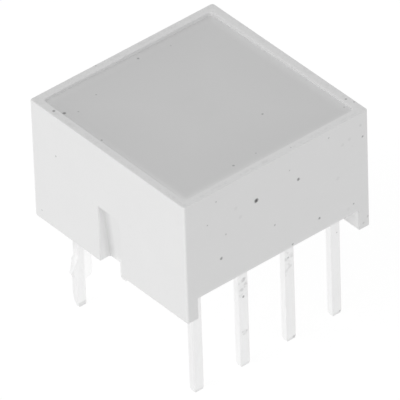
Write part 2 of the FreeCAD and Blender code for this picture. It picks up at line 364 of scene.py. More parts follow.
def round_edges(piece: bpy.types.Object, radius: float, steps: int) -> None:
    """Rounds the sharp edges of a piece.

    Args:
        piece: The piece.
        radius: Radius of the edges.
        steps: Faces across a rounded edge.
    """
    settings = {"width": radius, "segments": steps, "limit_method": "ANGLE", "angle_limit": SHARP}
    apply_modifier(piece, "BEVEL", settings)


def shade(piece: bpy.types.Object) -> None:
    """Shades rounded edges smooth and the faces between them flat.

    Args:
        piece: The piece.
    """
    select_only(piece)
    bpy.ops.object.shade_smooth_by_angle(angle=SHARP)
    apply_modifier(piece, "WEIGHTED_NORMAL", {"keep_sharp": True})


def dress(piece: bpy.types.Object, finish: bpy.types.Material) -> None:
    """Gives a piece one finish all over."""
    piece.data.materials.clear()
    piece.data.materials.append(finish)


def fasten(piece: bpy.types.Object, finish: bpy.types.Material, slot: str, *nodes: str) -> None:
    """Dresses a new piece and puts it in the place of construction nodes.

    Args:
        piece: The piece.
        finish: Its material.
        slot: Name of the material slot that its finish stands for; not used.
        nodes: The nodes that it replaces.
    """
    dress(piece, finish)
    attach(piece, BODY)
    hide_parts(*nodes)
    log.info("%s: %d faces", piece.name, len(piece.data.polygons))


class Number:
    """A number that varies over a surface, with arithmetic that adds Math nodes."""

    def __init__(self, shader: Shader, socket: bpy.types.NodeSocket) -> None:
        """Wraps a socket of a shader's node tree."""
        self.shader = shader
        self.socket = socket

    def combine(self, operation: str, first: Any, second: Any) -> Number:
        """The result of a Math node.

        Args:
            operation: What the node works out.
            first: Its first number.
            second: Its second number.

        Returns:
            The result.
        """
        made = self.shader.node("ShaderNodeMath", {"operation": operation}, {0: first, 1: second})
        return Number(self.shader, made.outputs[0])

    def __add__(self, other: Any) -> Number:
        """Sum."""
        return self.combine("ADD", self, other)

    def __sub__(self, other: Any) -> Number:
        """Difference."""
        return self.combine("SUBTRACT", self, other)

    def __rsub__(self, other: Any) -> Number:
        """Difference from a plain number."""
        return self.combine("SUBTRACT", other, self)

    def __mul__(self, other: Any) -> Number:
        """Product."""
        return self.combine("MULTIPLY", self, other)

    __radd__ = __add__
    __rmul__ = __mul__

    def at_least(self, other: Any) -> Number:
        """The larger of two numbers."""
        return self.combine("MAXIMUM", self, other)

    def at_most(self, other: Any) -> Number:
        """The smaller of two numbers."""
        return self.combine("MINIMUM", self, other)

    def size(self) -> Number:
        """The number without its sign."""
        return self.combine("ABSOLUTE", self, 0.0)

    def ramp(self, low: float, high: float) -> Number:
        """Eased rise from 0 at one number to 1 at another.

        Args:
            low: Number that gives 0.
            high: Number that gives 1.

        Returns:
            The share of the way.
        """
        made = self.shader.node(
            "ShaderNodeMapRange",
            {"interpolation_type": "SMOOTHSTEP"},
            {"Value": self, "From Min": low, "From Max": high},
        )
        return Number(self.shader, made.outputs["Result"])

    def fade(self, low: float, high: float) -> Number:
        """Eased fall from 1 at one number to 0 at another."""
        return 1.0 - self.ramp(low, high)

    def band(self, rise: Span, fall: Span) -> Number:
        """1 between two edges: what rises over the first span and fades over the second."""
        return self.ramp(*rise) * self.fade(*fall)


class Shader:
    """Node tree of a finish or of the surroundings."""

    dot_core: float = 0.5
    chance_edge: float = 0.02

    def __init__(self, owner: bpy.types.Material | bpy.types.World) -> None:
        """Empties the tree of what it belongs to.

        Args:
            owner: A new material or world.
        """
        owner.use_nodes = True
        self.owner = owner
        self.tree = owner.node_tree
        self.tree.nodes.clear()

    @classmethod
    def of_finish(cls, name: str) -> Shader:
        """The empty tree of a new material."""
        return cls(bpy.data.materials.new(name))

    def node(
        self,
        kind: str,
        settings: dict[str, Any] | None = None,
        inputs: dict[str | int, Any] | None = None,
    ) -> bpy.types.Node:
        """Adds a node.

        Args:
            kind: Type of the node.
            settings: What is set before its sockets.
            inputs: Values or links of its sockets.

        Returns:
            The node.
        """
        made = self.tree.nodes.new(kind)
        for name, setting in (settings or {}).items():
            setattr(made, name, setting)
        for name, feed in (inputs or {}).items():
            source = feed.socket if isinstance(feed, Number) else feed
            if isinstance(source, bpy.types.NodeSocket):
                self.tree.links.new(source, made.inputs[name])
            else:
                made.inputs[name].default_value = source
        return made

    def place_mm(self, stretch: Triple = (1.0, 1.0, 1.0)) -> bpy.types.NodeSocket:
        """Place on the piece in millimetres.

        Args:
            stretch: Factor along each axis.

        Returns:
            The place.
        """
        source = self.node("ShaderNodeTexCoord").outputs["Object"]
        scale = tuple(factor / MM for factor in stretch)
        return self.node("ShaderNodeMapping", inputs={"Vector": source, "Scale": scale}).outputs[0]

    def split(self, vector: Any) -> list[Number]:
        """The three axes of a vector."""
        parts = self.node("ShaderNodeSeparateXYZ", inputs={0: vector}).outputs
        return [Number(self, part) for part in parts]

    def noise(self, place: Any, scale: float, detail: float = 3.0, roughness: float = 0.5) -> Number:
        """Cloudy pattern about one half.

        Args:
            place: Where it is read.
            scale: Clouds in a millimetre.
            detail: Finer layers.
            roughness: Share of the finer layers.

        Returns:
            The pattern.
        """
        made = self.node(
            "ShaderNodeTexNoise",
            inputs={"Vector": place, "Scale": scale, "Detail": detail, "Roughness": roughness},
        )
        return Number(self, made.outputs[0])

    def dots(self, place: Any, scale: float, radius: float, chance: float) -> Number:
        """Scattered dots.

        Args:
            place: Where they are read.
            scale: Cells in a millimetre, each with room for one dot.
            radius: Largest radius of a dot, in millimetres.
            chance: Grey below which a cell's random colour gives it a dot.

        Returns:
            1 in a dot and 0 beside it.
        """
        made = self.node("ShaderNodeTexVoronoi", inputs={"Vector": place, "Scale": scale})
        apart = Number(self, made.outputs["Distance"])
        inside = apart.fade(radius * scale * self.dot_core, radius * scale)
        cell = Number(self, made.outputs["Color"])
        return inside * cell.fade(chance - self.chance_edge, chance)

    def mix(self, share: Any, first: Any, second: Any) -> bpy.types.NodeSocket:
        """Colour between two colours.

        Args:
            share: Share of the second.
            first: First colour.
            second: Second colour.

        Returns:
            The colour.
        """
        settings = {"data_type": "RGBA"}
        return self.node("ShaderNodeMix", settings, {0: share, 6: first, 7: second}).outputs[2]

    def bump(self, height_mm: Number) -> bpy.types.NodeSocket:
        """Normal of a surface whose relief has a height in millimetres."""
        inputs = {"Height": height_mm, "Distance": MM, "Strength": 1.0}
        return self.node("ShaderNodeBump", inputs=inputs).outputs[0]

    def surface(self, **inputs: Any) -> bpy.types.Material:
        """Ends the tree in a Principled shader.

        Args:
            inputs: Values or links by socket name, with _ for a space.

        Returns:
            The material.
        """
        named = {name.replace("_", " "): feed for name, feed in inputs.items()}
        shaded = self.node("ShaderNodeBsdfPrincipled", inputs=named)
        self.node("ShaderNodeOutputMaterial", inputs={"Surface": shaded.outputs[0]})
        return self.owner


def grey(level: float) -> Colour:
    """Neutral colour of one level."""
    return (level, level, level, 1.0)


@dataclass(frozen=True)
class Speck:
    """A grain of dirt: where it lies and its radius, in millimetres, and how solid it is."""

    x: float
    y: float
    z: float
    radius: float
    density: float = 1.0


WHITE = grey(1.0)
# Near-black for dirt, scuffs and painted shade.
SOOT_AND_SHADE = grey(0.03)
# How far a grain's outline is pushed about, and by how many clouds in a millimetre.
RAGGED_MM = 0.05
RAGGED_SCALE = 12.0
# Part of a grain's radius over which it is at its darkest.
CORE = 0.3
# A grain gets denser with its radius up to this one, and never denser than DENSEST.
DENSE_MM = 0.16
DENSEST = 0.95


def clean_share(shader: Shader, place: Any, specks: Sequence[Speck]) -> Number:
    """Share of a surface's colour that is left under grains of dirt, of which larger are denser.

    Args:
        shader: The finish's tree.
        place: Place on the piece in millimetres.
        specks: The grains.

    Returns:
        The share, 1 where the surface is clean.
    """
    ragged = shader.node(
        "ShaderNodeTexNoise", inputs={"Vector": place, "Scale": RAGGED_SCALE, "Detail": 1.0}
    ).outputs["Color"]
    pushed = shader.node(
        "ShaderNodeVectorMath",
        {"operation": "MULTIPLY_ADD"},
        {0: ragged, 1: (RAGGED_MM, RAGGED_MM, RAGGED_MM), 2: place},
    ).outputs[0]
    left: Any = 1.0
    for speck in specks:
        middle = tuple(axis + RAGGED_MM / 2 for axis in (speck.x, speck.y, speck.z))
        apart = shader.node(
            "ShaderNodeVectorMath", {"operation": "DISTANCE"}, {0: pushed, 1: middle}
        ).outputs["Value"]
        bare = Number(shader, apart).ramp(speck.radius * CORE, speck.radius)
        depth = min(speck.radius / DENSE_MM, DENSEST) * speck.density
        left = (bare * depth + (1.0 - depth)) * left
    return left


@dataclass(frozen=True)
class NotchShading:
    """Painted light and shade in the keyway notch: its side wall and the -Y part of its back wall
    painted lighter, and painted shade along its inner corner and under its top.

    Places are in millimetres. A span is where a mark rises or fades, and a share is how much it
    turns the colour. The inner corner lies at corner_x on the floor and leans out by
    corner_slope going up, and a spread is the square of the distance from it.
    """

    mouth: Span = (-5.0, -4.96)
    end: Span = (-4.4, -4.35)
    top: Span = (7.7, 7.72)
    inner_side: Span = (0.68, 0.69)
    outer_side: Span = (0.7, 0.745)
    near_side: Span = (-0.7, -0.69)
    far_side: Span = (0.66, 0.7)
    side_light_level: float = 0.92
    lit_back: Span = (-0.7, -0.2)
    lit_share: float = 0.6
    corner_x: float = -3.97
    corner_slope: float = 0.1
    corner_y: float = 0.7
    back_spread: Span = (0.0, 0.24)
    core_spread: Span = (0.0, 0.02)
    core_share: float = 0.4
    side_spread: Span = (0.0, 0.08)
    side_share: float = 0.5
    top_rise: Span = (7.45, 7.7)
    top_side: Span = (-0.6, 0.6)
    top_share: float = 0.6
    notch_shade_share: float = 0.13

    def dress(self, axes: Sequence[Number], tone: Any, shader: Shader) -> Any:
        """Lays the painted light and shade over a colour.

        Args:
            axes: Place on the piece in millimetres, axis by axis.
            tone: The colour.
            shader: The finish's tree.

        Returns:
            The colour with the marks.
        """
        x, y, z = axes
        inside = x.band(self.mouth, self.end) * z.fade(*self.top)
        side_wall = y.size().band(self.inner_side, self.outer_side) * inside
        back_wall = y.band(self.near_side, self.far_side) * inside
        # Painted light: the side wall is painted lighter against the shade of the recess.
        tone = shader.mix(side_wall, tone, grey(self.side_light_level))
        # Painted light on the -Y part of the back wall.
        tone = shader.mix(y.fade(*self.lit_back) * back_wall * self.lit_share, tone, WHITE)
        # Painted shade along the inner corner and under the notch's top.
        across_x = x - self.corner_x + z * self.corner_slope
        across_y = y - self.corner_y
        spread = across_x * across_x + across_y * across_y
        core = spread.ramp(*self.core_spread) * self.core_share + (1.0 - self.core_share)
        along_back = spread.fade(*self.back_spread) * core * back_wall
        along_side = spread.fade(*self.side_spread) * side_wall * self.side_share
        under_top = z.ramp(*self.top_rise) * y.band(self.top_side, self.outer_side) * inside
        notch_shade = (along_back + along_side).at_least(under_top * self.top_share)
        return shader.mix(notch_shade * self.notch_shade_share, tone, SOOT_AND_SHADE)


@dataclass(frozen=True)
class MouldedWhite:
    """Satin white moulded plastic of the case, with a little dirt, and painted highlights and
    painted shade on some edges and faces.

    Places are in millimetres. A span is where a mark rises or fades, and a share is how much it
    turns the colour.
    """

    level: float = 0.8
    drift: float = 0.012
    cloud_scale: float = 0.6
    satin_scale: float = 9.0
    mottle_scale: float = 4.0
    mottle: Span = (0.62, 0.75)
    mottle_share: float = 0.04
    mottle_level: float = 0.48
    roughness: float = 0.42
    roughness_drift: float = 0.1
    cloud_relief: float = 0.004
    satin_relief: float = 0.003
    corner: Span = (4.84, 5.0)
    between_feet: Span = (4.3, 4.4)
    side_skin: Span = (4.9, 4.95)
    sill: Span = (5.85, 6.05)
    edge_highlight_share: float = 0.22
    foot_inside: Span = (4.38, 4.39)
    foot_depth: Span = (4.41, 4.5)
    foot_top: Span = (5.84, 5.86)
    foot_side: Span = (4.9, 4.97)
    foot_light_share: float = 0.9
    rim_inner: Span = (4.7, 4.8)
    rim_outer: Span = (4.88, 4.96)
    rim_top: Span = (10.8, 10.85)
    scuff_scale: float = 2.2
    scuff_breaks: Span = (0.48, 0.62)
    scuff_share: float = 0.06
    window_edge: Span = (4.5, 4.6)
    window_skin: Span = (4.6, 4.65)
    window_foot: Span = (10.3, 10.4)
    window_shade_level: float = 0.45
    window_shade_share: float = 0.22
    far_sides: Span = (0.5, 1.5)
    dot_scale: float = 0.8
    dot_radius: float = 0.05
    dot_chance: float = 0.38
    dot_share: float = 0.5
    notch: NotchShading = NotchShading()
    specks: tuple[Speck, ...] = (
        Speck(-1.14, -5.0, 9.3, 0.15),
        Speck(1.15, -5.0, 9.22, 0.107),
        Speck(-3.1, -5.0, 7.29, 0.1),
        Speck(2.24, -5.0, 6.6, 0.094),
        Speck(-0.18, -5.0, 7.51, 0.065),
        Speck(-3.78, -5.0, 9.39, 0.055),
        Speck(-2.81, -5.0, 8.41, 0.056),
        Speck(-3.28, -5.0, 10.35, 0.058),
        Speck(0.69, -5.0, 9.93, 0.053),
        Speck(2.84, -5.0, 10.51, 0.055),
        Speck(4.68, -5.0, 9.64, 0.079),
        Speck(4.58, -5.0, 10.28, 0.1, 0.2),
        Speck(4.12, -5.0, 6.38, 0.067),
        Speck(0.75, -5.0, 6.0, 0.073),
        Speck(-4.77, 3.69, 10.9, 0.092),
        Speck(4.78, -3.86, 10.9, 0.075),
        Speck(4.91, -4.23, 10.9, 0.06),
        Speck(-1.48, 4.93, 10.9, 0.051),
        Speck(0.93, -4.83, 10.9, 0.044),
        Speck(-5.0, 3.39, 8.81, 0.063),
        Speck(-5.0, 4.52, 5.3, 0.054),
        Speck(4.64, -5.0, 5.09, 0.085, 0.35),
        Speck(4.88, -5.0, 5.32, 0.08, 0.45),
        Speck(3.59, -5.0, 9.76, 0.13, 0.08),
        Speck(3.96, -5.0, 9.86, 0.13, 0.08),
        Speck(3.29, -5.0, 8.15, 0.13, 0.08),
        Speck(3.83, -5.0, 6.24, 0.13, 0.08),
        Speck(-2.24, -5.0, 9.47, 0.13, 0.08),
        Speck(-2.01, -5.0, 8.9, 0.13, 0.08),
    )

    def foot_light(self, axes: Sequence[Number]) -> Number:
        """Finds the inner faces of the feet, where the light that reaches them is painted in as a
        lighter colour.

        Args:
            axes: Place on the piece in millimetres, axis by axis.

        Returns:
            1 on those faces and 0 elsewhere.
        """
        x, y, z = axes
        inner = x.size().band(self.foot_inside, self.foot_depth)
        return inner * z.fade(*self.foot_top) * y.size().fade(*self.foot_side)

    def rim_scuffs(self, axes: Sequence[Number], place: Any, shader: Shader) -> Number:
        """Broken grey line along the outer part of the rim, where such cases rub together.

        Args:
            axes: Place on the piece in millimetres, axis by axis.
            place: The same place as a vector.
            shader: The finish's tree.

        Returns:
            1 in a scuff and 0 beside it.
        """
        x, y, z = axes
        line = x.size().at_least(y.size()).band(self.rim_inner, self.rim_outer)
        broken = shader.noise(place, self.scuff_scale, detail=4.0, roughness=0.7)
        return line * z.ramp(*self.rim_top) * broken.ramp(*self.scuff_breaks)

    def window_wall(self, axes: Sequence[Number]) -> Number:
        """Finds the low wall along the +X side of the window, and a little over its edge, where
        painted shade darkens the lit wall.

        Args:
            axes: Place on the piece in millimetres, axis by axis.

        Returns:
            1 on the wall and 0 elsewhere.
        """
        x, y, z = axes
        across = x.band(self.window_edge, self.window_skin)
        return across * y.size().fade(*self.window_edge) * z.ramp(*self.window_foot)

    def edge_light(self, axes: Sequence[Number]) -> Number:
        """Finds where a painted highlight lies: the outer upright edges and the edge over the
        openings under the side walls.

        Args:
            axes: Place on the piece in millimetres, axis by axis.

        Returns:
            1 along those edges and 0 elsewhere.
        """
        x, y, z = axes
        upright = x.size().at_most(y.size()).ramp(*self.corner)
        over_opening = y.size().ramp(*self.side_skin) * x.size().fade(*self.between_feet)
        return upright.at_least(over_opening * z.fade(*self.sill))

    def make(self) -> bpy.types.Material:
        """Builds the material.

        Returns:
            The material.
        """
        shader = Shader.of_finish("moulded_white")
        place = shader.place_mm()
        axes = shader.split(place)
        cloud = shader.noise(place, self.cloud_scale)
        satin = shader.noise(place, self.satin_scale, detail=4.0, roughness=0.6)
        mottle = shader.noise(place, self.mottle_scale).ramp(*self.mottle) * self.mottle_share
        dots = shader.dots(place, self.dot_scale, self.dot_radius, self.dot_chance)
        far_dots = dots * (axes[0] + axes[1]).ramp(*self.far_sides) * self.dot_share
        tone = shader.mix(cloud, grey(self.level - self.drift), grey(self.level + self.drift))
        tone = shader.mix(mottle, tone, grey(self.mottle_level))
        # Painted highlight along the upright edges and over the openings.
        tone = shader.mix(self.edge_light(axes) * self.edge_highlight_share, tone, WHITE)
        # Painted light on the inner faces of the feet.
        tone = shader.mix(self.foot_light(axes) * self.foot_light_share, tone, WHITE)
        tone = shader.mix(self.rim_scuffs(axes, place, shader) * self.scuff_share, tone, SOOT_AND_SHADE)
        # Painted shade on the low wall by the window.
        tone = shader.mix(self.window_wall(axes) * self.window_shade_share, tone, grey(self.window_shade_level))
        # Painted light and shade in the notch.
        tone = self.notch.dress(axes, tone, shader)
        tone = shader.mix(far_dots, tone, SOOT_AND_SHADE)
        clean = clean_share(shader, place, self.specks)
        return shader.surface(
            Base_Color=shader.mix(clean, SOOT_AND_SHADE, tone),
            Roughness=(cloud + satin) * self.roughness_drift + self.roughness,
            Normal=shader.bump(satin * self.satin_relief + cloud * self.cloud_relief),
        )


@dataclass(frozen=True)
class MilkyEpoxy:
    """Light-diffusing cast epoxy, grey-white with a soft gloss.

    Places are in millimetres. A span is where painted light makes the epoxy lighter, and a lift is
    how much.
    The specks are read in plan, so that they lie on the window at any height.
    """

    level: float = 0.66
    drift: float = 0.01
    plan: Triple = (1.0, 1.0, 0.0)
    cloud_scale: float = 0.5
    pebble_scale: float = 5.0
    by_walls: Span = (4.1, 4.65)
    walls_lift: float = 0.12
    by_left_wall: Span = (4.25, 4.6)
    left_lift: float = 0.12
    near_edges: Span = (4.36, 4.6)
    near_lift: float = 0.14
    rear_corner: Span = (8.2, 9.0)
    rear_lift: float = 0.15
    off_middle: Span = (0.5, 4.3)
    middle_lift: float = 0.07
    roughness: float = 0.4
    roughness_drift: float = 0.1
    cloud_relief: float = 0.006
    pebble_relief: float = 0.002
    specks: tuple[Speck, ...] = (
        Speck(-4.44, 3.4, 0.0, 0.11),
        Speck(-4.48, 0.91, 0.0, 0.07),
        Speck(4.47, -4.1, 0.0, 0.067, 0.6),
        Speck(0.31, 4.31, 0.0, 0.076),
        Speck(-2.61, 3.53, 0.0, 0.058),
        Speck(-3.92, 3.11, 0.0, 0.055),
        Speck(1.66, -2.16, 0.0, 0.068),
        Speck(-1.55, -4.09, 0.0, 0.072),
        Speck(-0.31, -4.05, 0.0, 0.05),
        Speck(1.93, 4.11, 0.0, 0.046),
    )

    def painted_light(self, x: Number, y: Number) -> Number:
        """Painted light: how much lighter the epoxy is painted than in the open, by its walls,
        towards its rear corner and in its middle.

        Args:
            x: Place along X in millimetres.
            y: Place along Y in millimetres.

        Returns:
            Share of white.
        """
        reach = x.size().at_least(y.size())
        left = x * -1.0
        near = left.at_least(y * -1.0)
        return (
            reach.ramp(*self.by_walls) * self.walls_lift
            + left.ramp(*self.by_left_wall) * self.left_lift
            + near.ramp(*self.near_edges) * self.near_lift
            + (y - x).ramp(*self.rear_corner) * self.rear_lift
            + reach.fade(*self.off_middle) * self.middle_lift
        )

    def make(self) -> bpy.types.Material:
        """Builds the material.

        Returns:
            The material.
        """
        shader = Shader.of_finish("milky_epoxy")
        place = shader.place_mm()
        cloud = shader.noise(place, self.cloud_scale)
        pebble = shader.noise(place, self.pebble_scale, detail=2.0)
        x, y, _ = shader.split(place)
        tone = shader.mix(cloud, grey(self.level - self.drift), grey(self.level + self.drift))
        # Painted light by the walls, towards the rear corner and in the middle.
        tone = shader.mix(self.painted_light(x, y), tone, WHITE)
        clean = clean_share(shader, shader.place_mm(self.plan), self.specks)
        return shader.surface(
            Base_Color=shader.mix(clean, SOOT_AND_SHADE, tone),
            Roughness=cloud * self.roughness_drift + self.roughness,
            Normal=shader.bump(pebble * self.pebble_relief + cloud * self.cloud_relief),
        )


@dataclass(frozen=True)
class DippedTin:
    """Bright tin that the leads were dipped in, drawn out a little along them.

    Places are in millimetres. A span is where a mark rises or fades, and a share is how much it
    turns the colour. Painted light makes the far row and the stub lighter, and painted shade darkens
    the far row's sheared sides, the first lead's sheared side and the near row towards +X.
    """

    level: float = 0.92
    drift: float = 0.03
    dull_and_shade: Colour = grey(0.25)
    metal: float = 0.55
    bright_metal: float = 0.92
    roughness: float = 0.42
    drawn_scale: float = 6.0
    drawn_stretch: Triple = (1.0, 1.0, 0.25)
    drawn_roughness: float = 0.12
    drawn_relief: float = 0.008
    frost_scale: float = 22.0
    frost_roughness: float = 0.08
    frost_relief: float = 0.0015
    rows: Span = (-1.0, 1.0)
    first_pair: Span = (-3.1, -2.9)
    stub: Span = (-3.61, -3.51)
    sheared: Span = (0.3, 0.65)
    sheared_gloss: float = 0.15
    # Painted shade on the first lead's sheared side; painted light on the far row and painted shade
    # on its sheared sides.
    near_side_share: float = 0.09
    far_light_share: float = 0.8
    far_side: Colour = grey(0.5)
    far_side_shade_share: float = 0.24
    tip: Span = (0.112, 0.208)
    far_tip_rise: float = 0.08
    tip_share: float = 0.1
    row_shade: Span = (-3.5, 4.5)
    row_shade_share: float = 0.03
    scuffed_level: Span = (3.2, 4.3)
    scuffed_middle: float = -0.1
    scuffed_reach: Span = (1.7, 2.2)
    pit_scale: float = 6.0
    pit_stretch: Triple = (0.6, 0.6, 0.8)
    pits: Span = (0.5, 0.7)
    scuff_share: float = 0.2
    specks: tuple[Speck, ...] = (
        Speck(-1.22, -4.05, 4.6, 0.16, 0.2),
        Speck(-1.3, -4.05, 4.12, 0.13, 0.2),
        Speck(-1.23, -4.05, 3.72, 0.09),
        Speck(-1.14, -4.05, 4.2, 0.08, 0.25),
        Speck(-1.2, -4.07, 4.2, 0.5, 0.05),
        Speck(-1.2, -4.07, 1.8, 0.2, 0.1),
        Speck(-1.1, -4.07, 1.84, 0.08, 0.3),
        Speck(-1.33, -4.07, 1.88, 0.07, 0.3),
        Speck(-1.27, -4.07, 1.72, 0.06, 0.3),
        # Painted shade at the lower right corners of the third and fourth leads' tips.
        Speck(1.46, -4.07, 0.14, 0.11, 0.35),
        Speck(4.0, -4.07, 0.14, 0.08, 0.4),
        Speck(1.25, -4.05, 4.49, 0.064),
        Speck(3.94, -4.05, 4.4, 0.054),
    )

    def scuffs(self, x: Number, z: Number, shader: Shader) -> Number:
        """Finds the pits near the tops of the two middle leads of a row.

        Args:
            x: Place along X in millimetres.
            z: Place along Z in millimetres.
            shader: The finish's tree.

        Returns:
            1 in a pit and 0 beside it.
        """
        pits = shader.noise(shader.place_mm(self.pit_stretch), self.pit_scale, detail=1.0)
        middle_leads = (x - self.scuffed_middle).size().fade(*self.scuffed_reach)
        return z.ramp(*self.scuffed_level) * middle_leads * pits.ramp(*self.pits)

    def make(self) -> bpy.types.Material:
        """Builds the material.

        Returns:
            The material.
        """
        shader = Shader.of_finish("dipped_tin")
        place = shader.place_mm()
        x, y, z = shader.split(place)
        facing = shader.split(shader.node("ShaderNodeNewGeometry").outputs["Normal"])
        drawn = shader.noise(shader.place_mm(self.drawn_stretch), self.drawn_scale)
        frost = shader.noise(place, self.frost_scale)
        far_row = y.ramp(*self.rows)
        first_pair = x.fade(*self.first_pair)
        stub = x.ramp(*self.stub) * far_row * first_pair
        sheared_side = facing[0].size().ramp(*self.sheared)
        broad_side = 1.0 - sheared_side
        near_side = sheared_side * (1.0 - far_row)
        near_front = broad_side * (1.0 - far_row)
        sheared_end = (z - far_row * self.far_tip_rise).fade(*self.tip) * broad_side
        darker_tips = sheared_end * (far_row * first_pair + 1.0) * self.tip_share
        scuffed = self.scuffs(x, z, shader) * near_front * self.scuff_share
        shaded = x.ramp(*self.row_shade) * near_front * self.row_shade_share
        tone = shader.mix(drawn, grey(self.level - self.drift), grey(self.level + self.drift))
        # Painted light: the far row painted lighter.
        tone = shader.mix(far_row * self.far_light_share, tone, WHITE)
        # Painted shade on the far row's sheared sides.
        tone = shader.mix(far_row * sheared_side * self.far_side_shade_share, tone, self.far_side)
        # Painted shade on the first lead's sheared side.
        tone = shader.mix(near_side * first_pair * self.near_side_share, tone, self.dull_and_shade)
        # Darker towards the tips, pits near the tops of the middle leads, and painted shade along
        # the near row towards +X.
        tone = shader.mix(darker_tips + scuffed + shaded, tone, self.dull_and_shade)
        # Painted light: the stub of the tie bar painted white.
        tone = shader.mix(stub, tone, WHITE)
        clean = clean_share(shader, place, self.specks)
        uneven = drawn * self.drawn_roughness + frost * self.frost_roughness
        return shader.surface(
            Base_Color=shader.mix(clean, SOOT_AND_SHADE, tone),
            Metallic=(stub + near_side) * (self.bright_metal - self.metal) + self.metal,
            Roughness=uneven - near_side * self.sheared_gloss + self.roughness,
            Normal=shader.bump(drawn * self.drawn_relief + frost * self.frost_relief),
        )


@dataclass(frozen=True)
class Grained:
    """Finish of a small sealed piece, with a grain between a dark and a light colour."""

    name: str
    dark: Colour
    light: Colour
    scale: float
    detail: float
    roughness: float
    roughness_drift: float
    relief_mm: float
    metal: float = 0.0
    stretch: Triple = (1.0, 1.0, 1.0)

    def make(self) -> bpy.types.Material:
        """Builds the material.

        Returns:
            The material.
        """
        shader = Shader.of_finish(self.name)
        grain = shader.noise(shader.place_mm(self.stretch), self.scale, self.detail)
        return shader.surface(
            Base_Color=shader.mix(grain, self.dark, self.light),
            Metallic=self.metal,
            Roughness=grain * self.roughness_drift + self.roughness,
            Normal=shader.bump(grain * self.relief_mm),
        )


@dataclass
class Case:
    """White moulded case, from its rim to its standoff feet."""

    rim_width: float = 0.4 * MM
    window_depth: float = 0.5 * MM
    window_radius: float = 0.25 * MM
    reflector_depth: float = 3.6 * MM
    reflector_wall: float = 2.0 * MM
    reflector_radius: float = 0.6 * MM
    wall: float = 0.6 * MM
    back_radius: float = 0.3 * MM
    foot_height: float = 1.05 * MM
    corner_radius: float = 0.1 * MM
    edge_radius: float = 0.045 * MM
    edge_steps: int = 3
    notch_width: float = 1.4 * MM
    notch_height: float = 2.9 * MM
    notch_top_depth: float = 0.26 * MM
    notch_foot_depth: float = 0.55 * MM
    notch_backing: float = 0.45 * MM
    spare: float = 0.3 * MM
    finish: MouldedWhite = MouldedWhite()

    def __post_init__(self) -> None:
        """Reads the outer box from the frame."""
        self.low, self.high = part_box("housing")
        self.length = self.high.x - self.low.x
        self.width = self.high.y - self.low.y
        self.rim_level = self.high.z
        self.frame_level = self.rim_level - self.reflector_depth
        self.wall_level = self.low.z + self.foot_height

    def ring(self, inset: float, radius: float, level: float) -> Ring:
        """Outline at a distance inside the case's outer faces."""
        return Ring(self.length - 2 * inset, self.width - 2 * inset, radius, level)

    def build_walls(self) -> bpy.types.Object:
        """Lofts the four walls, the rim and the reflector, and draws the feet down.

        Returns:
            The case without its notch, with feet that are still a little too long.
        """
        window_shade_level = self.rim_level - self.window_depth
        bench = Bench("case")
        bench.loft(
            [
                self.ring(0.0, self.corner_radius, self.wall_level),
                self.ring(0.0, self.corner_radius, self.rim_level),
                self.ring(self.rim_width, self.window_radius, self.rim_level),
                self.ring(self.rim_width, self.window_radius, window_shade_level),
                self.ring(self.reflector_wall, self.reflector_radius, self.frame_level),
                self.ring(self.wall, self.back_radius, self.frame_level),
                self.ring(self.wall, self.back_radius, self.wall_level),
            ],
            closed=True,
        )
        inner = self.high.x - self.wall

        def is_underside(face: bmesh.types.BMFace) -> bool:
            """True for the faces under the walls."""
            return all(abs(point.co.z - self.wall_level) < TINY for point in face.verts)

        for side in (-1, 1):
            bench.choose(Kind.FACES, is_underside)
            bench.slice(Vector((side * inner, 0, 0)), Vector((1, 0, 0)))
        bench.choose(
            Kind.FACES,
            lambda face: is_underside(face) and abs(face.calc_center_median().x) > inner,
        )
        bench.extrude(z=-self.foot_height - self.spare)
        return bench.close()

    def build_backing(self) -> bpy.types.Object:
        """Thickens the wall behind the notch.

        Returns:
            The shape to add.
        """
        bench = Bench("notch_backing")
        inner = self.low.x + self.notch_foot_depth + self.notch_backing
        reach = self.notch_width / 2 + self.notch_backing
        low = Vector((self.low.x + self.wall / 2, -reach, self.low.z - self.spare / 2))
        bench.add_block(low, Vector((inner, reach, self.frame_level + self.wall / 2)))
        return bench.close()

    def build_notch(self) -> bpy.types.Object:
        """Keyway that is cut into one end wall, deeper towards its foot.

        Returns:
            The shape to cut out.
        """
        slope = (self.notch_foot_depth - self.notch_top_depth) / self.notch_height
        stations = []
        for height in (-self.wall, self.notch_height):
            depth = self.notch_foot_depth - slope * height
            size = (2 * depth, self.notch_width, self.corner_radius)
            stations.append(Ring(*size, self.low.z + height, centre=(self.low.x, 0.0)))
        bench = Bench("notch")
        bench.loft(stations)
        return bench.close()

    def build(self) -> bpy.types.Object:
        """Builds and dresses the case.

        Returns:
            The case.
        """
        case = self.build_walls()
        join_shapes(case, self.build_backing(), Joining.ADD)
        join_shapes(case, self.build_notch(), Joining.CUT)

        def is_on_skin(point: bmesh.types.BMVert) -> bool:
            """True for a point on one of the case's outermost planes."""
            planes = zip(point.co, self.low, self.high)
            return any(place < low + TINY or place > high - TINY for place, low, high in planes)

        bench = Bench.reopen(case)
        bench.trim_below(self.low.z)
        bench.round_over(is_on_skin, self.edge_radius, self.edge_steps)
        shade(bench.close())
        fasten(case, self.finish.make(), "white_case", "housing")
        return case


